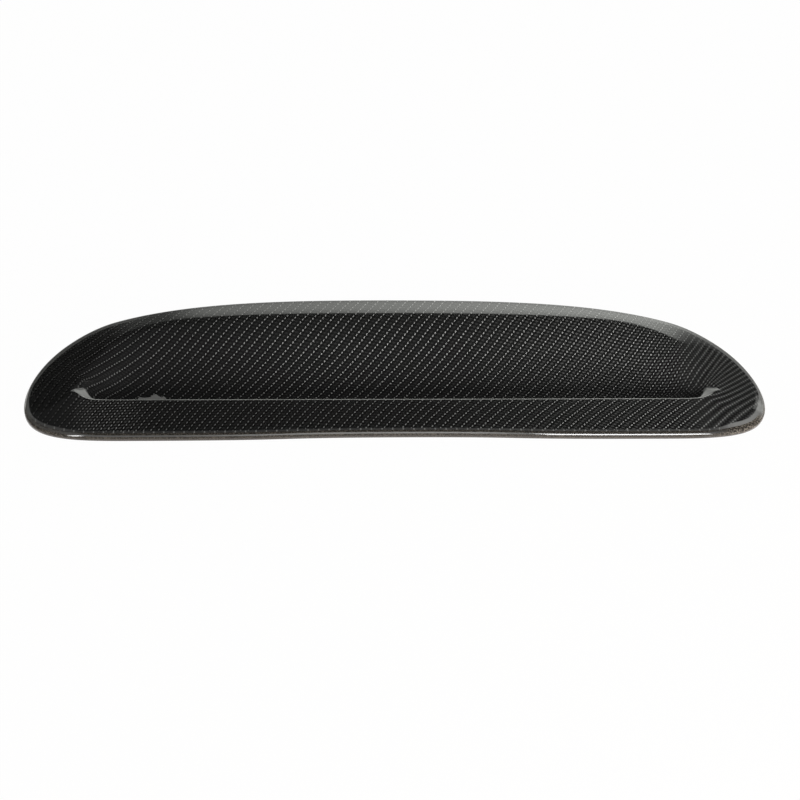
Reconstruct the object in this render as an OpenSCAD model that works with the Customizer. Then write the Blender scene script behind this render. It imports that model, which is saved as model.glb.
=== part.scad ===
// Bonnet scoop: one moulded laminate shell, closed, with a shallow mouth behind a straight lip.
// The origin lies on the seat's foot at the middle of the front edge.
// Seat plane z = 0, +Z outward from the bonnet, +Y towards the rear, +X across.

/* [Plan] */
// Length across the car, tip to tip
scoop_len = 574; // [520:1:640]
// Depth from the middle of the front edge to the rear edge
scoop_depth = 139; // [126:1:160]
// How far the two tips lie behind the middle of the front edge
tip_back = 32; // [24:1:40]
// How far the front edge bows forward on either side of its middle
front_bow = 2.4; // [0:0.1:6]

/* [Laminate] */
// Thickness of the laminate
wall = 1.6; // [1:0.1:2.2]
// Height of the rim above the seat
rim_h = 5.6; // [4.6:0.1:9]
// Outer rounding of the rim
rim_r = 2.6; // [2.3:0.1:3.2]

/* [Crown] */
// Rise of the front band, in mm for each mm inwards
band_slope = 0.03; // [0:0.01:0.08]
// Rise of the two ends, in mm for each mm inwards
end_slope = 0.09; // [0.04:0.01:0.2]
// How far the two ends roll down at their edge
end_roll = 1.8; // [0:0.1:2.4]
// Rise of the roof behind the mouth, in mm for each mm inwards
roof_slope = 0.27; // [0.18:0.01:0.34]
// Distance of the brow from the middle of the rear edge
brow_w = 28; // [22:1:34]
// Softness of the brow, as the height over which it blends
brow_soft = 9; // [5:0.5:12]

/* [Mouth] */
// Distance of the lip from the middle of the front edge
lip_y = 33; // [28:1:38]
// How far in from the tips the points of the lip's corners lie
lip_in = 37.5; // [32:0.5:50]
// How far the lip turns back at its corners
lip_curl = 6.5; // [4:0.5:9]
// Softness of the lip
lip_soft = 2; // [1.2:0.1:3]
// Fall of the mouth's front wall, in degrees
wall_fall = 56; // [50:1:64]
// Fall of the small ledge in each corner, in degrees
ledge_fall = 19; // [12:1:28]
// Depth of the mouth below the seat at its valley
valley_deep = 16.2; // [12:0.1:20]
// Distance of the valley behind the lip
valley_back = 15.7; // [13:0.1:18]
// Half the length of the level part of the mouth's floor
floor_half = 158; // [140:1:175]
// How far the floor climbs at each end
end_rise = 26.5; // [20:0.5:32]
// How far inside the lip's points the floor has climbed in full
rise_in = 5.5; // [3:0.5:9]

/* [Hidden] */

half = scoop_len / 2;
lip_half = half - lip_in;
// Columns over each half of the mouth, and spokes round each end
columns = 21;
end_spokes = 20;
// Where the columns stop and the spokes of the end begin, in from the tip
end_in = 51;
end_x = half - end_in;
core_y = lip_y + valley_back;
// Length over which the lip turns back, and how far inside its point the ledge starts
curl_run = 17;
ledge_run = 15.6;
// Sideways shift of the ledge's inner edge for each mm backwards, and how wide that edge is
ledge_lean = 0.6;
ledge_edge = 1.5;
// Softness round the ledge, and where the mouth's own softness gives way to it
ledge_soft = 0.4;
ledge_near = 28;
ledge_full = 14;
// Share of the roof's narrowing that the brow follows towards the ends
brow_follow = 0.45;
// How far the brow's line lies under the crown
brow_under = 1.4;
// Length over which the floor climbs to each end, and the power of its climb
end_run = lip_half - rise_in - floor_half;
climb_power = 2.7;
// Share of the climb that the floor has along the valley, and where behind it the rest comes in
valley_share = 0.86;
share_start = 4;
share_end = 20;
// Width of the roll at the edge of each end, and where the ends' own slope begins and is full
roll_w = 9;
end_start = 62;
end_full = 25;
// Where the roof's slope begins behind the lip, and is full before the rear edge
roof_start = 7;
roof_full = 19;
// Softness at the bottom of the mouth
valley_soft = 3;
// How far behind the valley the brow's softness is reached, along the mouth and at its ends
soft_run = 26;
soft_run_end = 10;
// Half the width of the dense stations across the lip and across the brow
lip_band = 2.6;
brow_band = 11;
// Where the brow's stations lie, as a share of the way in from the rear edge
brow_share = 0.35;
// Distance from the valley's end to the lip's point, for the stations there
ledge_reach = 14;
// Half the width of the narrow loop that closes the grid along the valley
core_r = 1;
// Steps of the rim's rounding
round_steps = 3;

function clamp(t) = min(max(t, 0), 1);
function mix(a, b, t) = a + (b - a) * t;
function ease(a, b, t) = let (u = clamp((t - a) / (b - a))) u * u * (3 - 2 * u);
function soft_min(a, b, k) = min(a, b) - pow(max(k - abs(a - b), 0), 2) / (4 * k);
function soft_max(a, b, k) = max(a, b) + pow(max(k - abs(a - b), 0), 2) / (4 * k);

// Plan outline: four cubic curves over the right half, from the front middle to the rear middle.
// Where they join and where the long ones pull, in from the tip, and how far the others pull
low_in = 95;
shoulder_in = 66;
shoulder_fore = 23.5;
front_pull_in = 186;
rear_pull_in = 204;
low_pull_front = 118;
low_pull_corner = 56;
tip_pull_front = 36;
tip_pull_rear = 24;
shoulder_pull_tip = 50;
shoulder_pull_rear = 62;
low_x = half - low_in;
shoulder = [half - shoulder_in, scoop_depth - shoulder_fore];
shoulder_turn = 20.5;
shoulder_dir = [cos(shoulder_turn), -sin(shoulder_turn)];
tip = [half, tip_back];
low = [low_x, -front_bow];
FRONT = [[0, 0], [half - front_pull_in, 0], low - [low_pull_front, 0], low];
CORNER = [low, low + [low_pull_corner, 0], tip - [0, tip_pull_front], tip];
FLANK = [tip, tip + [0, tip_pull_rear], shoulder + shoulder_pull_tip * shoulder_dir, shoulder];
rear_middle = [0, scoop_depth];
rear_pull = [half - rear_pull_in, scoop_depth];
REAR = [shoulder, shoulder - shoulder_pull_rear * shoulder_dir, rear_pull, rear_middle];

function bez(p, t) =
    let (s = 1 - t)
    s * s * s * p[0] + 3 * s * s * t * p[1] + 3 * s * t * t * p[2] + t * t * t * p[3];
function bez_dir(p, t) =
    let (s = 1 - t, d = 3 * (s * s * (p[1] - p[0]) + 2 * s * t * (p[2] - p[1]) + t * t * (p[3] - p[2])))
    d / norm(d);
// Parameter at which a curve reaches x, halving the span; up is 1 where x grows along the curve
function bez_at(p, x, up, lo = 0, hi = 1, n = 22) =
    n == 0 ? (lo + hi) / 2
    : let (m = (lo + hi) / 2, past = up * (bez(p, m)[0] - x) > 0)
      past ? bez_at(p, x, up, lo, m, n - 1) : bez_at(p, x, up, m, hi, n - 1);

// A spoke's start on the outline: its point and the inward normal
function foot(p, t) = let (d = bez_dir(p, t)) [bez(p, t), [-d[1], d[0]]];
function front_foot(x) = x <= low_x ? foot(FRONT, bez_at(FRONT, x, 1)) : foot(CORNER, bez_at(CORNER, x, 1));
function rear_foot(x) =
    x <= shoulder[0] ? foot(REAR, bez_at(REAR, x, -1)) : foot(FLANK, bez_at(FLANK, x, -1));
function rear_y(x) = rear_foot(min(abs(x), lip_half))[0][1];

// The crown rises inwards from the rim: w is the distance from the outline
function at_end(x) = ease(half - end_start, half - end_full, abs(x));
function at_roof(y) = ease(lip_y + roof_start, scoop_depth - roof_full, y);
function crown_slope(x, y) = mix(mix(band_slope, roof_slope, at_roof(y)), end_slope, at_end(x));
function crown(x, y, w) =
    rim_h + crown_slope(x, y) * w - end_roll * at_end(x) * pow(max(1 - w / roll_w, 0), 2);

// The lip runs straight and turns back at its corners
function lip_at(x) = lip_y + lip_curl * pow(clamp((abs(x) - (lip_half - curl_run)) / curl_run), 2);

// Front wall of the mouth, with a shallow ledge in each corner
function front_wall(x, y, top) =
    let (
        past = abs(x) - (lip_half - ledge_run) - ledge_lean * (y - lip_y),
        fall = mix(wall_fall, ledge_fall, ease(0, ledge_edge, past))
    )
    top - (y - lip_at(x)) * tan(fall);

// Floor of the mouth: from the valley up to the brow, climbing to both ends
function mouth_floor(x, y) =
    let (
        back = rear_y(x),
        brow = brow_w - brow_follow * (scoop_depth - back),
        brow_z = rim_h - brow_under + roof_slope * brow,
        rise = (brow_z + valley_deep) / (back - brow - core_y),
        level = (y - core_y) * rise - valley_deep,
        share = mix(valley_share, 1, ease(core_y + share_start, core_y + share_end, y)),
        climb = end_rise * share * pow(max(abs(x) - floor_half, 0) / end_run, climb_power)
    )
    level + climb;

function skin(x, y, w) =
    let (
        top = crown(x, y, w),
        near = ease(lip_half - ledge_near, lip_half - ledge_full, abs(x)),
        well = soft_max(mouth_floor(x, y), front_wall(x, y, top), mix(valley_soft, ledge_soft, near)),
        behind = ease(core_y, core_y + mix(soft_run, soft_run_end, near), y),
        soft = mix(mix(lip_soft, ledge_soft, near), brow_soft, behind)
    )
    soft_min(top, well, soft);

// Spokes of the right half: foot, inward normal, inner end, distance of the lip or brow, half its width
function spoke(f, core, brow, spread) = [f[0], f[1], core, brow, spread];
function front_spoke(x) =
    let (f = front_foot(x)) spoke(f, [x, core_y - core_r], lip_at(x) - f[0][1], lip_band);
function rear_spoke(x) =
    let (f = rear_foot(x)) spoke(f, [x, core_y + core_r], brow_share * (f[0][1] - core_y), brow_band);
function end_spoke(t) =
    let (
        t0 = bez_at(CORNER, end_x, 1),
        t1 = bez_at(FLANK, end_x, -1),
        f = t < 0.5 ? foot(CORNER, mix(t0, 1, 2 * t)) : foot(FLANK, mix(0, t1, 2 * t - 1)),
        core = [end_x, core_y] + core_r * [sin(180 * t), -cos(180 * t)],
        reach = norm(f[0] - core)
    )
    spoke(f, core, reach - mix(ledge_reach, (1 - brow_share) * reach, ease(0.35, 1, t)),
        mix(lip_band, brow_band, ease(0.3, 1, t)));
half_spokes = [
    for (i = [0:columns]) front_spoke(end_x * i / columns),
    for (i = [1:end_spokes - 1]) end_spoke(i / end_spokes),
    for (i = [columns:-1:0]) rear_spoke(end_x * i / columns)
];
half_count = len(half_spokes);
count = 2 * half_count - 2;

function flip(s) = [for (i = [0:2]) [-s[i][0], s[i][1]]];
function mirrored(s) = concat(flip(s), [s[3], s[4]]);
spokes = concat(half_spokes, [for (i = [half_count - 2:-1:1]) mirrored(half_spokes[i])]);

// Points along one spoke, as distances from the outline to the valley
function stations(s) =
    let (reach = norm(s[0] - s[2]), near = s[3] - s[4], far = s[3] + s[4])
    concat(
        [for (k = [0:3]) mix(rim_r, near, k / 4)],
        [for (k = [0:5]) mix(near, far, k / 5)],
        [for (k = [1:5]) mix(far, reach, k / 5)]
    );

function on_skin(s, d) =
    let (
        dir = (s[2] - s[0]) / norm(s[2] - s[0]),
        p = s[0] + dir * d
    )
    [p[0], p[1], skin(p[0], p[1], d * (dir * s[1]))];

// Height of the skin where the rim's rounding ends, and the rounding itself
function rim_top(s) = crown(s[0][0], s[0][1], rim_r);
function rim_point(s, inset, z) = [s[0][0] + s[1][0] * inset, s[0][1] + s[1][1] * inset, z];
function rim_round(s, a) =
    rim_point(s, rim_r * (1 - cos(a)), rim_top(s) - rim_r * (1 - sin(a)));

outer_rings = concat(
    [[for (s = spokes) rim_point(s, 0, 0)]],
    [for (k = [0:round_steps - 1]) [for (s = spokes) rim_round(s, 90 * k / round_steps)]],
    [for (k = [0:14]) [for (s = spokes) on_skin(s, stations(s)[k])]]
);

// The underside lies one laminate below the skin, measured square to it, up to a steepest slope
probe = 0.4;
steepest = 2.45;
function under(p, s, d) =
    let (
        q = on_skin(s, d + probe),
        slope = min(norm([(q[2] - p[2]) / probe, side_slope(p, s, d)]), steepest)
    )
    [p[0], p[1], p[2] - wall * sqrt(1 + slope * slope)];
function side_slope(p, s, d) =
    let (
        dir = (s[2] - s[0]) / norm(s[2] - s[0]),
        side = [-dir[1], dir[0]] * probe,
        w = d * (dir * s[1])
    )
    (skin(p[0] + side[0], p[1] + side[1], w) - p[2]) / probe;

inner_rings = concat(
    [[for (s = spokes) rim_point(s, wall, 0)]],
    [[for (s = spokes) rim_point(s, wall, rim_top(s) - rim_r)]],
    [for (k = [0, 2, 4, 5, 6, 7, 8, 9, 10, 12, 14])
        [for (s = spokes) under(on_skin(s, stations(s)[k]), s, stations(s)[k])]]
);

function ring_faces(first, flipped) = [
    for (i = [0:count - 1])
        let (j = (i + 1) % count, a = first + i, b = first + j, c = b + count, d = a + count)
        for (f = [[a, b, c], [a, c, d]]) flipped ? [f[2], f[1], f[0]] : f
];
// Closes the innermost loop: strips between the front and rear spokes, fans at the two ends
function core_faces(first, flipped) =
    let (
        last = half_count - 1,
        right = [for (k = [0:last - 1]) [k, last - k]],
        strips = [
            for (k = [0:floor(last / 2) - 1])
                let (a = k, b = k + 1, c = last - k - 1, d = last - k)
                each (b < c ? [[a, b, c], [a, c, d]] : [[a, b, d]])
        ],
        left = [for (f = strips) [for (v = [f[2], f[1], f[0]]) (count - v) % count]]
    )
    [for (f = concat(strips, left)) let (g = [for (v = f) first + v]) flipped ? [g[2], g[1], g[0]] : g];

module scoop_shell() {
    outer_count = len(outer_rings);
    inner_count = len(inner_rings);
    inner_first = outer_count * count;
    points = [for (r = outer_rings) each r, for (r = inner_rings) each r];
    faces = concat(
        [for (k = [0:outer_count - 2]) each ring_faces(k * count, false)],
        core_faces((outer_count - 1) * count, false),
        [for (k = [0:inner_count - 2]) each ring_faces(inner_first + k * count, true)],
        core_faces(inner_first + (inner_count - 1) * count, true),
        [for (i = [0:count - 1])
            let (j = (i + 1) % count)
            each [[j, i, inner_first + i], [j, inner_first + i, inner_first + j]]]
    );
    color([0.09, 0.09, 0.1])
        translate([0, -wall / 2, 0])
            polyhedron(points, [for (f = faces) [f[2], f[1], f[0]]], convexity = 6);
}

scoop_shell();
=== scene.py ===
import math

import bpy
import numpy as np
from mathutils import Matrix, Vector


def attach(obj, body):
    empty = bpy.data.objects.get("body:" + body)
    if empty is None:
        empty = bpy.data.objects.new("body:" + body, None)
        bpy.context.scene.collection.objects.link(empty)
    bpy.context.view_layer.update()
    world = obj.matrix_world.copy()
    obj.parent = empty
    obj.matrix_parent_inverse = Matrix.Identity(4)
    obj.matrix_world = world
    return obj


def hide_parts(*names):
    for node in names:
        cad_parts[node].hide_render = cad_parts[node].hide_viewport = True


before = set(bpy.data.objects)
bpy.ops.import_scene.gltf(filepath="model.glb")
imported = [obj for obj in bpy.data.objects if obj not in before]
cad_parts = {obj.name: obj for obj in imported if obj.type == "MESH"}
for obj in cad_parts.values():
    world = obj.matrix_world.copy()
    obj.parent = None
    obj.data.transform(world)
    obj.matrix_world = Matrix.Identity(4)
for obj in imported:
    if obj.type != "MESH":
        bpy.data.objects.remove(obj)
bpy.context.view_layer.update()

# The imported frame's origin lies half a laminate behind the front edge. Lengths here are in millimetres
# from the front edge, and become metres where a mesh or the camera is placed. Materials, walls and lamps
# are in metres.
WALL = 1.6
EDGE = WALL / 2
HALF, DEPTH = 287.0, 139.0
TIP = np.array([HALF, 32.0])
RIM_ROUND = 2.6
# A drop that marks the points of the rim's foot, which lie on the seat
FOOT = 99.0
# The lip: its line, its half length, how far its ends curl back, and over what length they do
LIP_Y, LIP_HALF, LIP_CURL, CURL_RUN = 33.0, 249.5, 6.5, 17.0
# The line along the bottom of the mouth, where the front and the rear of the net meet
CORE_Y = 48.7
# Width of one tow of the cloth
TOW = 2.032


# Sockets that take part in sums


class Value:
    """A socket of a node tree. Sums on it add Math nodes, and node() makes any other node."""

    def __init__(self, tree, socket=None):
        self.tree = tree
        self.socket = socket

    def node(self, kind, inputs=(), out=0, **settings):
        """Adds a node with these settings and inputs, and gives the output that is named, if any."""
        made = self.tree.nodes.new(kind)
        for name, value in settings.items():
            setattr(made, name, value)
        pairs = inputs.items() if isinstance(inputs, dict) else enumerate(inputs)
        for name, value in pairs:
            if isinstance(value, Value):
                self.tree.links.new(value.socket, made.inputs[name])
            else:
                made.inputs[name].default_value = value
        return None if out is None else Value(self.tree, made.outputs[out])

    def parts(self, axes):
        """The named parts of a vector."""
        return [self.node("ShaderNodeSeparateXYZ", (self,), out=axis) for axis in axes]

    def sum(self, operation, *values):
        return self.node("ShaderNodeMath", values, operation=operation)

    def __add__(self, other):
        return self.sum("ADD", self, other)

    def __radd__(self, other):
        return self.sum("ADD", other, self)

    def __sub__(self, other):
        return self.sum("SUBTRACT", self, other)

    def __rsub__(self, other):
        return self.sum("SUBTRACT", other, self)

    def __mul__(self, other):
        return self.sum("MULTIPLY", self, other)

    def __rmul__(self, other):
        return self.sum("MULTIPLY", other, self)

    def __truediv__(self, other):
        return self.sum("DIVIDE", self, other)

    def __pow__(self, other):
        return self.sum("POWER", self, other)

    def __abs__(self):
        return self.sum("ABSOLUTE", self)

    def low(self, other):
        return self.sum("MINIMUM", self, other)

    def high(self, other):
        return self.sum("MAXIMUM", self, other)

    def mod(self, other):
        return self.sum("FLOORED_MODULO", self, other)

    def whole(self):
        return self.sum("FLOOR", self)

    def ease(self, start, end):
        """0 before start, 1 after end, and smooth between them."""
        return self.node("ShaderNodeMapRange", (self, start, end), interpolation_type="SMOOTHSTEP")

    def between(self, start, full, fade, stop):
        """1 from full to fade, and 0 before start and after stop."""
        return self.ease(start, full) * (1.0 - self.ease(fade, stop))

    def hill(self, steepness):
        """1 where the value is 0, and down to 0 at both sides of it."""
        return (1.0 - steepness * self * self).high(0.0)

    def clamp(self):
        return self.high(0.0).low(1.0)


def mix(a, b, share):
    """a where the share is 0, and b where it is 1. It takes sockets, numbers and arrays."""
    return a + (b - a) * share


def soft_min(a, b, softness):
    gap = (softness - abs(a - b)).high(0.0)
    return a.low(b) - gap * gap / (4.0 * softness)


def soft_max(a, b, softness):
    gap = (softness - abs(a - b)).high(0.0)
    return a.high(b) + gap * gap / (4.0 * softness)


# Plan outline of the right half, from the front middle to the rear middle


def smooth_step(start, end, values):
    """0 before start, 1 after end, and smooth between them, on arrays."""
    share = np.clip((values - start) / (end - start), 0, 1)
    return share * share * (3 - 2 * share)


def bezier(points, t):
    t = np.asarray(t, float)[..., None]
    a, b, c, d = (np.asarray(point, float) for point in points)
    return (1 - t) ** 3 * a + 3 * (1 - t) ** 2 * t * b + 3 * (1 - t) * t * t * c + t ** 3 * d


def bezier_way(points, t):
    """Unit vectors along the curve."""
    t = np.asarray(t, float)[..., None]
    a, b, c, d = (np.asarray(point, float) for point in points)
    way = (1 - t) ** 2 * (b - a) + 2 * (1 - t) * t * (c - b) + t * t * (d - c)
    return way / np.linalg.norm(way, axis=-1, keepdims=True)


# The front edge bows forward most at LOW_X, and the rear edge turns down at the shoulder. The two middle
# points of each curve are its handles.
LOW_X, LOW_Y = HALF - 95, -2.4
SHOULDER = np.array([HALF - 66, DEPTH - 23.5])
SHOULDER_TURN = math.radians(20.5)
SHOULDER_WAY = np.array([math.cos(SHOULDER_TURN), -math.sin(SHOULDER_TURN)])
FRONT = [(0, 0), (HALF - 186, 0), (LOW_X - 118, LOW_Y), (LOW_X, LOW_Y)]
CORNER = [(LOW_X, LOW_Y), (LOW_X + 56, LOW_Y), TIP - [0, 36], TIP]
FLANK = [TIP, TIP + [0, 24], SHOULDER + 50 * SHOULDER_WAY, SHOULDER]
REAR = [SHOULDER, SHOULDER - 62 * SHOULDER_WAY, (HALF - 204, DEPTH), (0, DEPTH)]
CURVE_POINTS = 801


def fine_line(*curves):
    """Fine points along the curves, with the inward normals."""
    t = np.linspace(0, 1, CURVE_POINTS)
    points = np.vstack([bezier(curve, t) for curve in curves])
    ways = np.vstack([bezier_way(curve, t) for curve in curves])
    return points, np.stack([-ways[:, 1], ways[:, 0]], 1)


FRONT_LINE = fine_line(FRONT, CORNER)
REAR_LINE = fine_line(FLANK, REAR)


def read_line(line, where, at):
    """Points and inward normals of a line, read at the places where in its rising values at."""
    return np.stack([np.interp(where, at, array[:, axis]) for array in line for axis in (0, 1)], 1)


def front_at(x):
    """Points and inward normals of the front outline at each x."""
    return read_line(FRONT_LINE, x, FRONT_LINE[0][:, 0])


def rear_at(x):
    """Points and inward normals of the rear outline at each x."""
    backwards = [array[::-1] for array in REAR_LINE]
    return read_line(backwards, x, backwards[0][:, 0])


# The net: spokes run from the outline to the core, straight up to END_X and fanned out beyond it.
# Its rows lie closest over the lip and over the brow.
END_X = HALF - 51
CORE_ROUND = 1.0
COLUMNS, END_SPOKES = 84, 72
RIM_ROWS = 7
OUTER_ROWS, INNER_ROWS = (8, 14, 14), (6, 8, 8)
# Half widths of the strips of close rows, the brow's share of the way from the outline to the core, and
# the lip's distance from the core where the fan begins
LIP_STRIP, BROW_STRIP = 2.6, 11.0
BROW_SHARE = 0.35
LIP_TO_CORE = 14
# Shares of the fan from which the close rows move to the brow and widen
MOVES_FROM, WIDENS_FROM = 0.35, 0.3


def straight_spokes(line, xs, core_y, distance, strip):
    return np.column_stack([line, xs, np.full_like(xs, core_y), distance, np.full_like(xs, strip)])


def spokes():
    """Rows of foot x, y, inward normal x, y, core x, y, distance of the lip or brow, half its strip."""
    xs = np.linspace(0, END_X, COLUMNS + 1)
    lip = LIP_Y + LIP_CURL * np.clip((xs - (LIP_HALF - CURL_RUN)) / CURL_RUN, 0, 1) ** 2
    front = front_at(xs)
    front = straight_spokes(front, xs, CORE_Y - CORE_ROUND, lip - front[:, 1], LIP_STRIP)
    rear = rear_at(xs)
    rear = straight_spokes(rear, xs, CORE_Y + CORE_ROUND, BROW_SHARE * (rear[:, 1] - CORE_Y), BROW_STRIP)

    start, stop = front[-1], rear[-1]
    points, normals = (np.vstack(arrays) for arrays in zip(FRONT_LINE, REAR_LINE))
    first = np.argmin(np.hypot(*(FRONT_LINE[0] - start[:2]).T))
    last = len(FRONT_LINE[0]) + np.argmin(np.hypot(*(REAR_LINE[0] - stop[:2]).T))
    steps = np.hypot(*np.diff(points[first : last + 1], axis=0).T)
    along = np.concatenate([[0], np.cumsum(steps)])
    t = np.arange(1, END_SPOKES) / END_SPOKES
    where = np.interp(t * along[-1], along, np.arange(len(along))) + first
    foot = read_line((points, normals), where, np.arange(len(points)))
    core = np.stack([END_X + CORE_ROUND * np.sin(np.pi * t), CORE_Y - CORE_ROUND * np.cos(np.pi * t)], 1)
    reach = np.hypot(*(foot[:, :2] - core).T)
    from_core = mix(LIP_TO_CORE, (1 - BROW_SHARE) * reach, smooth_step(MOVES_FROM, 1, t))
    strip = mix(LIP_STRIP, BROW_STRIP, smooth_step(WIDENS_FROM, 1, t))
    end = np.column_stack([foot, core, reach - from_core, strip])

    half = np.vstack([front, end, rear[::-1]])
    left = half[-2:0:-1] * [-1, 1, -1, 1, -1, 1, 1, 1]
    return np.vstack([half, left]), len(half)


def ring_faces(rings, count, first, flipped):
    """Quads between rings that follow each other."""
    i = np.arange(count)
    j = (i + 1) % count
    starts = [first + ring * count for ring in range(rings)]
    quads = np.vstack([np.stack([a + i, a + j, b + j, b + i], 1) for a, b in zip(starts, starts[1:])])
    return list(quads[:, ::-1] if flipped else quads)


def core_faces(half_count, count, first, flipped):
    """Closes the innermost loop with strips between its front and rear points."""
    last = half_count - 1
    faces = []
    for a in range(last // 2 + 1):
        b, c, d = a + 1, last - a - 1, last - a
        if b < c:
            faces.append([a, b, c, d])
        elif b == c:
            faces.append([a, b, d])
    faces += [[(count - v) % count for v in face[::-1]] for face in faces]
    return [[first + v for v in (face[::-1] if flipped else face)] for face in faces]


def plan_mesh():
    """The shell's flat net, with both skins at z = 0. Gives its points, its faces and a value of each kind
    that the tree needs at each point."""
    net, half_count = spokes()
    count = len(net)
    foot, normal, core = net[:, 0:2], net[:, 2:4], net[:, 4:6]
    to_core = core - foot
    reach = np.hypot(*to_core.T)
    way = to_core / reach[:, None]
    near, far = net[:, 6] - net[:, 7], net[:, 6] + net[:, 7]
    rings = []

    def skin_ring(distance, under):
        inset = distance * (way * normal).sum(1)
        rings.append((foot + way * distance[:, None], inset, np.zeros(count), under))

    def rim_ring(inset, drop, under):
        rings.append((foot + normal * inset, np.full(count, RIM_ROUND), np.full(count, drop), under))

    def skin(rows, under):
        stations = [np.full(count, RIM_ROUND), near, far, reach]
        for a, b, row_count in zip(stations, stations[1:], rows):
            for row in range(row_count):
                skin_ring(mix(a, b, row / row_count), under)
        skin_ring(reach, under)

    rim_ring(0.0, FOOT, 0)
    for row in range(RIM_ROWS):
        turn = math.radians(90 * row / RIM_ROWS)
        rim_ring(RIM_ROUND * (1 - math.cos(turn)), RIM_ROUND * (1 - math.sin(turn)), 0)
    skin(OUTER_ROWS, 0)
    outer = len(rings)
    rim_ring(WALL, FOOT, 0)
    rim_ring(WALL, RIM_ROUND, 0)
    skin(INNER_ROWS, 1)

    first = outer * count
    faces = ring_faces(outer, count, 0, False)
    faces += core_faces(half_count, count, (outer - 1) * count, False)
    faces += ring_faces(len(rings) - outer, count, first, True)
    faces += core_faces(half_count, count, (len(rings) - 1) * count, True)
    faces += [[(i + 1) % count, i, first + i, first + (i + 1) % count] for i in range(count)]

    plan = np.vstack([ring[0] for ring in rings])
    cloth_u, cloth_v = cloth(plan)
    marks = {
        "inset": np.concatenate([ring[1] for ring in rings]),
        "drop": np.concatenate([ring[2] for ring in rings]),
        "under": np.repeat([float(ring[3]) for ring in rings], count),
        "back": rear_at(np.minimum(abs(plan[:, 0]), LIP_HALF))[:, 1],
        "cloth_u": cloth_u / TOW,
        "cloth_v": cloth_v / TOW,
    }
    return plan, [[int(v) for v in face] for face in faces], marks


# The cloth: where each point of the plan lies on the flat cloth, in millimetres. It is a smooth fit to the
# rows seen in the photograph, skewed over the face behind the mouth and arched along the band before it.

FACE_MIDDLE, BAND_MIDDLE = 75, 18
# What is added to the face's part so that it meets the band's at the lip
FACE_SHIFT_U, FACE_SHIFT_V = -4.8, 128
# The face takes over between the lip and this line, and round the ends over a longer way
FACE_Y = 50
SOONER, LATER = 21, 34
ENDS_FROM, ENDS_TO = 238, 264
RUN_START, RUN_LENGTH = 185, 60


def run_up(x):
    """Grows as a square over the last stretch of the mouth, then straight on."""
    past = np.maximum(x - RUN_START, 0)
    return np.where(past < RUN_LENGTH, past * past, RUN_LENGTH * (2 * past - RUN_LENGTH)) / 100


def cloth(plan):
    """How far each point lies along the cloth and across it."""
    x, y = plan[:, 0], plan[:, 1]
    left, right = run_up(-x), run_up(x)
    square, cube, fourth = x * x / 100, x ** 3 / 1e5, x ** 4 / 1e7

    f = (y - FACE_MIDDLE) / 100
    face_u = 0.993 * x + 5.8 * f + 1.8 * x * f / 100 - 0.004 * square - 0.011 * cube
    face_u += -0.078 * left + 0.176 * right + (0.11 * left - 0.15 * right) * f - 5.8 * f * f
    face_v = 111 * f - 0.057 * x + 0.009 * square + 0.014 * cube
    face_v += -0.211 * left - 0.263 * right + (0.14 * left - 0.05 * right) * f - 41 * f * f

    b = (y - BAND_MIDDLE) / 100
    band_u = 0.999 * x + 1.1 * b - 0.014 * square + 0.039 * cube + 0.006 * fourth
    band_v = 101.6 * b + 35 * b * b - 0.1445 * x + 0.098 * square + 0.022 * cube - 0.034 * fourth

    end = smooth_step(ENDS_FROM, ENDS_TO, abs(x))
    share = smooth_step(LIP_Y - SOONER * end, FACE_Y + LATER * end, y)
    return mix(band_u, face_u + FACE_SHIFT_U, share), mix(band_v, face_v + FACE_SHIFT_V, share)


# Geometry tree that raises the shell from its plan

# Lengths are in millimetres, slopes are rises over runs, and falls are angles. End start and End full are
# counted in from the tip, and Roof full from the rear edge.
SIZES = {
    "Rim height": 5.6,
    "Band slope": 0.03,
    "End slope": 0.09,
    "End start": 62.0,
    "End full": 25.0,
    "End roll": 1.8,
    "Roll reach": 9.0,
    "Roof slope": 0.27,
    "Roof start": 7.0,
    "Roof full": 19.0,
    "Brow distance": 28.0,
    "Brow taper": 0.45,
    "Brow drop": 1.4,
    "Brow softness": 9.0,
    "Brow run": 26.0,
    "Brow run at ledge": 10.0,
    "Lip line": LIP_Y,
    "Lip half length": LIP_HALF,
    "Lip curl": LIP_CURL,
    "Curl run": CURL_RUN,
    "Lip softness": 2.0,
    "Wall fall": math.radians(56),
    "Ledge fall": math.radians(19),
    "Valley depth": 16.2,
    "Valley share": 0.86,
    "Valley start": 4.0,
    "Valley full": 20.0,
    "Valley softness": 3.0,
    "Floor half length": 158.0,
    "Floor end run": 86.0,
    "Floor end rise": 26.5,
    "Floor end power": 2.7,
    "Ledge run": 15.6,
    "Ledge lean": 0.6,
    "Ledge softness": 0.4,
    "Ledge blend": 1.5,
    "Ledge start": 28.0,
    "Ledge full": 14.0,
    "Ledge lower fade": 0.7,
    "Ledge upper fade": 0.35,
}
# The underside is sunk straight down, by the wall over the upright part of the normal, or at least this
LEAST_UPRIGHT = 0.38


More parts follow.
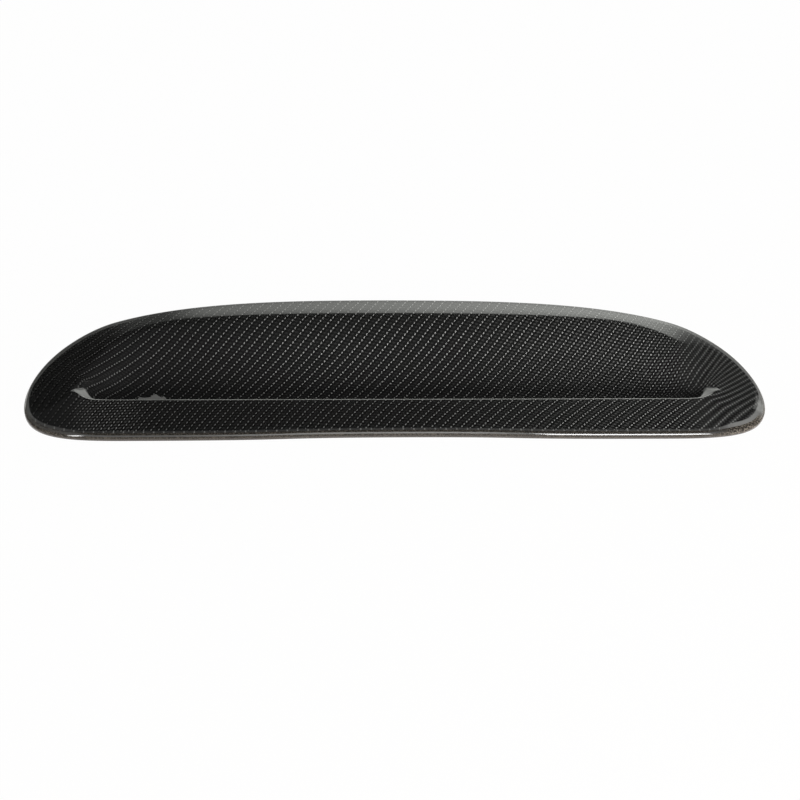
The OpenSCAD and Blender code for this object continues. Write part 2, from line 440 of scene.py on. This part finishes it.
def shell_tree(material):
    """Raises the net to the lower of its top and its mouth, and sinks the underside below that."""
    tree = bpy.data.node_groups.new("shell_heights", "GeometryNodeTree")
    face = tree.interface
    face.new_socket("Geometry", in_out="OUTPUT", socket_type="NodeSocketGeometry")
    face.new_socket("Geometry", in_out="INPUT", socket_type="NodeSocketGeometry")
    for name in SIZES:
        face.new_socket(name, in_out="INPUT", socket_type="NodeSocketFloat")
    start = Value(tree)
    plan = start.node("NodeGroupInput", out="Geometry")
    size = {name: start.node("NodeGroupInput", out=name) for name in SIZES}

    def read(name):
        return start.node("GeometryNodeInputNamedAttribute", {"Name": name}, data_type="FLOAT")

    def store(geometry, name, value, **settings):
        inputs = {"Geometry": geometry, "Name": name, "Value": value}
        return start.node("GeometryNodeStoreNamedAttribute", inputs, **settings)

    def lift(geometry, height):
        offset = start.node("ShaderNodeCombineXYZ", {"Z": height})
        return start.node("GeometryNodeSetPosition", {"Geometry": geometry, "Offset": offset})

    x, y = start.node("GeometryNodeInputPosition").parts("XY")
    x = abs(x * 1000.0)
    y = y * 1000.0 + EDGE
    inset, drop, under, back = read("inset"), read("drop"), read("under"), read("back")

    # The top: band, roof and ends
    rear = y.ease(size["Lip line"] + size["Roof start"], DEPTH - size["Roof full"])
    end = x.ease(HALF - size["End start"], HALF - size["End full"])
    slope = mix(mix(size["Band slope"], size["Roof slope"], rear), size["End slope"], end)
    roll = (1.0 - inset / size["Roll reach"]).high(0.0)
    top = size["Rim height"] + slope * inset - size["End roll"] * end * roll * roll

    # The wall behind the lip, which turns into a ledge near its ends
    lip_half = size["Lip half length"]
    curl = ((x - (lip_half - size["Curl run"])) / size["Curl run"]).clamp()
    lip = size["Lip line"] + size["Lip curl"] * curl * curl
    past = x - (lip_half - size["Ledge run"]) - size["Ledge lean"] * (y - size["Lip line"])
    fall = mix(size["Wall fall"], size["Ledge fall"], past.ease(0.0, size["Ledge blend"]))
    wall = top - (y - lip) * fall.sum("TANGENT", fall)

    # The mouth's face, from the valley up to the brow, with its two ends rising
    brow = size["Brow distance"] - size["Brow taper"] * (DEPTH - back)
    brow_height = size["Rim height"] - size["Brow drop"] + size["Roof slope"] * brow
    rise = (brow_height + size["Valley depth"]) / (back - brow - CORE_Y)
    level = (y - CORE_Y) * rise - size["Valley depth"]
    up_the_face = y.ease(CORE_Y + size["Valley start"], CORE_Y + size["Valley full"])
    share = mix(size["Valley share"], 1.0, up_the_face)
    past_floor = (x - size["Floor half length"]).high(0.0) / size["Floor end run"]
    climb = size["Floor end rise"] * share * past_floor ** size["Floor end power"]

    # The three meet softly at the lip, in the valley and along the brow
    near = x.ease(lip_half - size["Ledge start"], lip_half - size["Ledge full"])
    well = soft_max(level + climb, wall, mix(size["Valley softness"], size["Ledge softness"], near))
    behind = y.ease(CORE_Y, CORE_Y + mix(size["Brow run"], size["Brow run at ledge"], near))
    at_lip = mix(size["Lip softness"], size["Ledge softness"], near)
    height = soft_min(top, well, mix(at_lip, size["Brow softness"], behind))
    height = (height - drop) * drop.sum("LESS_THAN", drop, FOOT)

    # What the material reads: how far a point lies behind the lip, and how far inside a ledge
    lower = (wall - level - climb) / size["Ledge lower fade"]
    upper = (top - wall) / size["Ledge upper fade"]
    marked = store(plan, "behind_lip", y - lip, data_type="FLOAT")
    marked = store(marked, "in_ledge", past.low(lower).low(upper), data_type="FLOAT")

    raised = lift(marked, height / 1000.0)
    (upright,) = start.node("GeometryNodeInputNormal").parts("Z")
    shell = lift(raised, under * (-WALL / 1000.0) / abs(upright).high(LEAST_UPRIGHT))
    uv = start.node("ShaderNodeCombineXYZ", {"X": read("cloth_u"), "Y": read("cloth_v")})
    shell = store(shell, "UVMap", uv, data_type="FLOAT2", domain="CORNER")
    shell = start.node("GeometryNodeRealizeInstances", {"Geometry": shell})
    shell = start.node("GeometryNodeSetMaterial", {"Geometry": shell, "Material": material})
    start.node("NodeGroupOutput", {"Geometry": shell}, out=None)
    return tree


def add_object(name, data):
    made = bpy.data.objects.new(name, data)
    bpy.context.scene.collection.objects.link(made)
    return made


def set_marks(mesh, marks):
    """Gives each point of the mesh a value of each name."""
    for name, values in marks.items():
        mesh.attributes.new(name, "FLOAT", "POINT").data.foreach_set("value", values)


def scoop(material):
    """The shell as a plain mesh, which the tree has raised from its flat net."""
    plan, faces, marks = plan_mesh()
    flat = bpy.data.meshes.new("scoop_plan")
    points = np.column_stack([plan[:, 0], plan[:, 1] - EDGE, np.zeros(len(plan))]) / 1000
    flat.from_pydata(points.tolist(), [], faces)
    set_marks(flat, {name: values.astype(np.float32) for name, values in marks.items()})
    carrier = add_object("scoop_plan", flat)
    tree = shell_tree(material)
    modifier = carrier.modifiers.new("heights", "NODES")
    modifier.node_group = tree
    for socket in tree.interface.items_tree:
        if socket.in_out == "INPUT" and socket.name in SIZES:
            modifier[socket.identifier] = SIZES[socket.name]
    evaluated = carrier.evaluated_get(bpy.context.evaluated_depsgraph_get())
    mesh = bpy.data.meshes.new_from_object(evaluated)
    mesh.name = "scoop_skin"
    bpy.data.objects.remove(carrier)
    # The material reads the inset, and the others have done their work
    for name in marks:
        if name != "inset":
            mesh.attributes.remove(mesh.attributes[name])
    mesh.shade_smooth()
    return add_object("scoop_skin", mesh)


# A scrap of resin flash left along the lip, left of its middle: how far it reaches back at each x
FLASH = [(-201, 34), (-200, 35.3), (-196, 34.8), (-192, 35.2), (-189.5, 37.6),
         (-187.5, 38.4), (-185.5, 36.6), (-183, 35), (-181.5, 36.2), (-179.5, 34)]
FLASH_FRONT, FLASH_TOP, FLASH_THICK = 32.4, 6.3, 0.4
# It shows plain resin: the ledge's look, whose pale grey is partly a painted reflection, and neither the
# lip's painted highlight nor the rim's look
FLASH_MARKS = {"behind_lip": 50.0, "in_ledge": 1.0, "inset": 50.0}


def resin_flash(material):
    """A closed strip with its front edge inside the lip."""
    outline = FLASH + [(x, FLASH_FRONT) for x, _ in reversed(FLASH)]
    count = len(outline)
    heights = (FLASH_TOP, FLASH_TOP - FLASH_THICK)
    points = [(x / 1000, (y - EDGE) / 1000, z / 1000) for z in heights for x, y in outline]
    faces = [(i, i + count, (i + 1) % count + count, (i + 1) % count) for i in range(count)]
    for i in range(len(FLASH) - 1):
        far = count - 1 - i
        faces.append((i + 1, i, far, far - 1))
        faces.append((i + count, i + 1 + count, far - 1 + count, far + count))
    mesh = bpy.data.meshes.new("resin_flash")
    mesh.from_pydata(points, [], faces)
    mesh.uv_layers.new(name="UVMap")
    set_marks(mesh, {name: [value] * len(points) for name, value in FLASH_MARKS.items()})
    mesh.materials.append(material)
    return add_object("resin_flash", mesh)


# Clear-coated twill

# Shades from 0 for black to 1 for white
# CLOTH is the cloth's own black. The spot shade is a painted highlight, and the stripe shade is painted
# sheen.
CLOTH, PAINTED_SPOT_HIGHLIGHT, PAINTED_STRIPE_SHEEN = 0.0075, 0.36, 0.025
# The lip shade is a painted highlight along its crest, the ledge shade a plain resin grey that is partly a
# painted reflection, and the tick shade a painted highlight.
PAINTED_LIP_HIGHLIGHT, LEDGE_RESIN_AND_REFLECTION, PAINTED_TICK_HIGHLIGHT = 0.42, 0.12, 0.12
# Where the right end's painted stripes of sheen set in
RIGHT_END = (0.215, 0.25)
# How far in from the outline the pale band of painted reflection along the rim reaches, in millimetres,
# and what is added to that round the rear, along the front and at the front corners
PAINTED_REFLECTION_EDGE, AT_REAR, AT_FRONT, AT_CORNERS = 3.2, 1.7, 1.4, 4.3


def new_material(name):
    """A material with an empty tree, and the start of that tree."""
    material = bpy.data.materials.new(name)
    material.use_nodes = True
    material.node_tree.nodes.clear()
    return material, Value(material.node_tree)


def weave(u, v):
    """2x2 twill: two tows over, two under, stepping one tow each row. Gives the height of its surface, and
    masks of the painted highlight spot on an upright float, the painted shade in the pit beside it, a
    level float's crown and the whole float."""
    along_weft = (u - v.whole()).mod(4.0)
    across_weft = v.mod(1.0) - 0.5
    along_warp = (u.whole() - v).mod(4.0) - 2.0
    across_warp = u.mod(1.0) - 0.5
    weft_on_top = 1.0 - along_weft.ease(1.96, 2.04)
    weft_crown = (along_weft - 1.0).hill(1.0)
    weft = weft_crown * across_weft.hill(3.2)
    warp = along_warp.hill(1.0) * across_warp.hill(3.2)
    height = mix(warp, weft, weft_on_top)
    # The painted highlight spot leans with the twill
    spot_highlight_mask = along_warp.hill(5.5) * (across_warp + 0.3 * along_warp).hill(10.0)
    # The pit beside the spot, where the cloth's black is darkened further as painted shade
    pit_shade_mask = (along_warp - 0.65).hill(5.0) * (across_warp - 0.15).hill(7.0)
    level = weft_on_top * weft_crown ** 3.0 * across_weft.hill(6.0)
    level_float = along_weft.between(-0.1, 0.3, 1.6, 2.2)
    return height, spot_highlight_mask, pit_shade_mask, level, level_float


def cloth_tone_and_painted_light(x, y, spot_highlight_mask, pit_shade_mask, level, level_float):
    """Shade of the cloth with painted light: its own black, darkened as painted shade in the pit beside
    each spot, and painted highlights on the spots, brightest in the middle of the face, at the right of
    the band and in a patch at the band's left end, and fainter at the far left end and the very front. To
    the right painted highlights lie on the level floats too, and at the right end painted stripes of sheen
    lie on the whole upright floats."""
    face = y.ease(LIP_Y / 1000, 0.045)
    right_end = x.ease(*RIGHT_END)
    # How bright the painted highlights are, set by their place on the part
    left_highlight_patch = x.between(-0.255, -0.235, -0.215, -0.185) * (1.0 - face)
    spot_highlight_on_face = mix(0.35, 1.0, x.ease(-0.25, -0.02)) * mix(1.0, 0.45, x.ease(0.2, 0.26))
    spot_highlight_on_band = mix(0.35, 1.0, x.ease(-0.15, 0.25)) * mix(1.0, 0.5, x.ease(0.22, 0.27))
    spot_highlight_strength = mix(spot_highlight_on_band, spot_highlight_on_face, face) * mix(0.25, 1.0, x.ease(-0.265, -0.22)) + 0.3 * left_highlight_patch
    spot_highlight_strength = spot_highlight_strength * mix(0.55, 1.0, y.ease(0.0, 0.004))
    level_highlight_on_face = 0.055 + 0.225 * x.ease(0.02, 0.2)
    level_highlight_on_band = 0.04 + 0.16 * x.ease(0.0, 0.2)
    level_highlight_strength = mix(level_highlight_on_band, level_highlight_on_face, face) + 0.2 * left_highlight_patch
    painted_highlights = spot_highlight_mask * mix(1.0, 0.85, right_end) + level_highlight_strength * level * (1.0 - right_end)
    # Painted stripes of sheen lie over the upright floats at the right end
    return CLOTH * (1.0 - 0.9 * pit_shade_mask) + PAINTED_SPOT_HIGHLIGHT * spot_highlight_strength * painted_highlights + PAINTED_STRIPE_SHEEN * right_end * (1.0 - level_float)


def rim_tone_and_painted_light(shade, place, u, inset):
    """Lays over the shade a pale band of painted reflection along the rim, with short painted highlight
    ticks along the front, below it the speckle of cut cloth, and along the front a light line that is a
    painted highlight. Gives the shade and how brown it is."""
    x, y, z = place.parts("XYZ")
    front = 1.0 - y.ease(0.01, 0.02)
    corner = abs(x).ease(0.24, 0.26) * (1.0 - y.ease(0.018, 0.042)) * mix(0.3, 1.0, x.ease(*RIGHT_END))
    along_front = front * (1.0 - corner)
    # A pale band painted along the rim as a painted reflection on its curve, fainter along the front
    reach = PAINTED_REFLECTION_EDGE + AT_REAR * y.ease(0.04, 0.08) + AT_FRONT * along_front + AT_CORNERS * corner
    painted_reflection_mask = (1.0 - (inset - reach).ease(-0.5, 0.5)) * front.high(abs(x).ease(0.18, 0.23))
    painted_reflection_shade = mix(0.1, 0.17, x.ease(-0.2, 0.2)) * mix(1.0, 0.3, along_front)
    # Short ticks where the upright floats cross the front rim: painted highlights
    painted_tick_highlights = PAINTED_TICK_HIGHLIGHT * along_front * (u.mod(4.0) - 0.5).hill(8.0)
    grains = place.node("ShaderNodeTexNoise", {"Vector": place, "Scale": 900.0, "Detail": 1.0})
    grains = grains.ease(0.42, 0.66)
    speckle = 0.012 + 0.04 * grains + 0.08 * grains * corner
    cut = (1.0 - (inset - 1.2 * corner).ease(2.7, 3.3)) * (1.0 - z.ease(0.0042, 0.005)).high(front)
    # A light line along the front of the rim's rounding: a painted highlight, weaker at the left and faint
    # at the right
    line = z.between(0.0043, 0.0046, 0.0051, 0.0054) * (1.0 - inset.ease(2.7, 3.0)) * along_front
    painted_line_highlight = mix(0.07, 0.15, x.ease(-0.2, -0.05)) * mix(1.0, 0.3, x.ease(0.05, 0.12))
    shade = mix(mix(shade, painted_reflection_shade + painted_tick_highlights, painted_reflection_mask), speckle, cut)
    return mix(shade, painted_line_highlight, line), 0.15 * cut * (1.0 - line)


def clear_coated_twill():
    """Carbon twill in resin under a smooth clear coat, with painted highlights and painted shade on the
    weave. The lip's crest carries a painted highlight, the two ledges show no cloth and are painted pale
    grey, partly as a painted reflection, and the rim has its own look with a painted reflection and
    painted highlights."""
    material, start = new_material("clear_coated_twill")
    u, v = start.node("ShaderNodeUVMap", uv_map="UVMap").parts("XY")
    place = start.node("ShaderNodeTexCoord", out="Object")
    x, y = place.parts("XY")

    def read(name):
        return start.node("ShaderNodeAttribute", out="Fac", attribute_name=name)

    height, *masks = weave(u, v)
    # A light line painted along the lip's crest: a painted highlight of its rounded edge
    lip_highlight_mask = read("behind_lip").between(-0.75, -0.35, 0.7, 1.2) * (1.0 - abs(x).ease(0.243, 0.247))
    shade = mix(cloth_tone_and_painted_light(x, y, *masks), PAINTED_LIP_HIGHLIGHT, lip_highlight_mask)
    # The ledges: plain resin without cloth, painted pale grey that is partly a painted reflection
    shade = mix(shade, LEDGE_RESIN_AND_REFLECTION, read("in_ledge").ease(-0.1, 0.3))
    shade, brown = rim_tone_and_painted_light(shade, place, u, read("inset"))
    colour = start.node("ShaderNodeCombineColor", (shade * (1.0 + brown), shade, shade * (0.97 - brown)))
    bump = start.node("ShaderNodeBump", {"Strength": 0.5, "Distance": 0.0002, "Height": height})
    surface = start.node("ShaderNodeBsdfPrincipled", {
        "Base Color": colour,
        "Roughness": 0.42,
        "Specular IOR Level": 0.1,
        "Coat Weight": 1.0,
        "Coat Roughness": 0.03,
        "Coat IOR": 1.6,
        "Normal": bump,
    })
    start.node("ShaderNodeOutputMaterial", {"Surface": surface}, out=None)
    return material


twill = clear_coated_twill()
shell = scoop(twill)
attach(shell, "root")
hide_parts("scoop_shell")
flash = resin_flash(twill)
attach(flash, "root")


# Camera: from the left of the front, about 50 degrees above the seat, a little rolled

YAW, RISE, ROLL = math.radians(-5.94), math.radians(50.1), math.radians(4.415)
# The camera's place, in millimetres from the middle of the front edge
EYE_ACROSS, EYE_UP, EYE_BACK = -3.446, 28.611, 1212.7
SENSOR, LENS = 36, 71.55

level_x = Vector((math.cos(YAW), math.sin(YAW), 0))
screen_up = Vector((-math.sin(YAW) * math.sin(RISE), math.cos(YAW) * math.sin(RISE), math.cos(RISE)))
ahead = Vector((-math.sin(YAW) * math.cos(RISE), math.cos(YAW) * math.cos(RISE), -math.sin(RISE)))
right = level_x * math.cos(ROLL) + screen_up * math.sin(ROLL)
up = screen_up * math.cos(ROLL) - level_x * math.sin(ROLL)
eye = Vector((EYE_ACROSS, -EDGE, 0)) + EYE_UP * screen_up - EYE_BACK * ahead
camera = add_object("camera", bpy.data.cameras.new("camera"))
camera.data.sensor_width = SENSOR
camera.data.lens = LENS
turned = Matrix((right, up, -ahead)).transposed().to_4x4()
camera.matrix_world = Matrix.Translation(eye / 1000) @ turned
bpy.context.scene.camera = camera


# Floor, walls and lamps

# How bright the clear coat mirrors the floor in front of the shell and behind it, and how white the floor
# is to the camera, which leaves a faint shadow
FLOOR_IN_FRONT, FLOOR_BEHIND, FLOOR_WHITE = 0.07, 0.7, 0.985
BOX_FACES = [(0, 1, 3, 2), (4, 6, 7, 5), (0, 4, 5, 1), (2, 3, 7, 6), (0, 2, 6, 4), (1, 5, 7, 3)]


def box(name, low, high, material):
    mesh = bpy.data.meshes.new(name)
    xs, ys, zs = zip(low, high)
    mesh.from_pydata([(x, y, z) for x in xs for y in ys for z in zs], [], BOX_FACES)
    mesh.materials.append(material)
    return add_object(name, mesh)


def floor_material():
    """White to the camera, with the shell's shadow kept faint. The clear coat mirrors it a little darker
    behind and beside the shell, and nearly dark in front of it."""
    material, start = new_material("floor_white")
    matt = start.node("ShaderNodeBsdfPrincipled", {"Base Color": (0.6, 0.53, 0.47, 1), "Roughness": 0.9})
    glow = start.node("ShaderNodeEmission", {"Color": (1, 1, 1, 1), "Strength": 1.0})
    (y,) = start.node("ShaderNodeTexCoord", out="Object").parts("Y")
    mirrored = mix(FLOOR_IN_FRONT, FLOOR_BEHIND, y.ease(-0.02, 0.03))
    seen = start.node("ShaderNodeLightPath", out="Is Camera Ray")
    seen = seen.high(mirrored * start.node("ShaderNodeLightPath", out="Is Glossy Ray"))
    seen = seen.high(start.node("ShaderNodeLightPath", out="Is Transmission Ray"))
    surface = start.node("ShaderNodeMixShader", (seen * FLOOR_WHITE, matt, glow))
    start.node("ShaderNodeOutputMaterial", {"Surface": surface}, out=None)
    return material


def backdrop_material():
    """Glows behind the shell, where the roof mirrors it, and in a patch far out at each side, which the
    ends' rims mirror. Left of the middle it fades out early, except low down for the rear rim."""
    material, start = new_material("backdrop_glow")
    x, z = start.node("ShaderNodeTexCoord", out="Object").parts("XZ")
    behind = mix(0.72, 2.3, x.ease(-0.9, 1.0)) * (1.0 - x.ease(0.8, 1.7)) * (1.0 - z.ease(1.5, 1.72))
    upper_left = mix(0.2, 1.0, x.ease(-0.54, -0.36)) * x.ease(-0.88, -0.62)
    lower_left = 1.2 * x.ease(-1.3, -0.8)
    behind = behind * mix(lower_left, upper_left, z.ease(0.52, 0.66).high(x.ease(-0.6, -0.4)))
    far_right = 1.3 * x.ease(2.25, 2.45) * (1.0 - z.ease(3.2, 3.4))
    far_left = 3.0 * (1.0 - x.ease(-2.45, -2.25)) * (1.0 - z.ease(1.7, 1.9))
    strength = behind + far_right + far_left
    glow = start.node("ShaderNodeEmission", {"Color": (0.98, 1.0, 0.95, 1), "Strength": strength})
    start.node("ShaderNodeOutputMaterial", {"Surface": glow}, out=None)
    return material


floor = box("floor", (-6, -6, -0.03), (6, 6, -0.019), floor_material())

WALLS = {
    "backdrop": ((-3.8, 2.4, 0), (3.2, 2.42, 3.5)),
    "side": ((3.2, 0.6, 0.3), (3.22, 2.4, 3.5)),
}
glow_wall = backdrop_material()
for name, (low, high) in WALLS.items():
    wall_box = box(name, low, high, glow_wall)
    wall_box.visible_camera = False

# The room is white to the camera and gives the shell only a faint light
world = bpy.data.worlds.new("studio")
bpy.context.scene.world = world
world.use_nodes = True
world.node_tree.nodes.clear()
sky = Value(world.node_tree)
room = sky.node("ShaderNodeLightPath", out="Is Camera Ray").high(0.05)
room = sky.node("ShaderNodeBackground", {"Color": (1, 1, 1, 1), "Strength": room})
sky.node("ShaderNodeOutputWorld", {"Surface": room}, out=None)

# Soft panels at the right and at the left, which nothing mirrors, and two tall ones in front, which the
# rim mirrors. Each has its place, what it looks at, its width and height, its power, and whether it is
# mirrored.
LAMPS = {
    "panel_right": ((1.6, -0.7, 1.3), (0, 0.05, 0), (0.9, 0.9), 16, False),
    "panel_left": ((-1.8, -0.6, 1.2), (0, 0.05, 0), (0.8, 0.8), 6, False),
    "front_right": ((0.436, -0.95, 0.42), (0.436, 0, 0.42), (0.41, 0.7), 17.7, True),
    "front_left": ((-0.6, -0.95, 0.42), (-0.6, 0, 0.42), (0.1, 0.7), 3.7, True),
}
for name, (place, target, (width, height), power, mirrored) in LAMPS.items():
    panel = bpy.data.lights.new(name, "AREA")
    panel.shape = "RECTANGLE"
    panel.size = width
    panel.size_y = height
    panel.energy = power
    lamp = add_object(name, panel)
    lamp.location = place
    lamp.rotation_mode = "QUATERNION"
    lamp.rotation_quaternion = (Vector(target) - Vector(place)).to_track_quat("-Z", "Y")
    lamp.visible_glossy = mirrored

scene = bpy.context.scene
scene.view_settings.view_transform = "Standard"
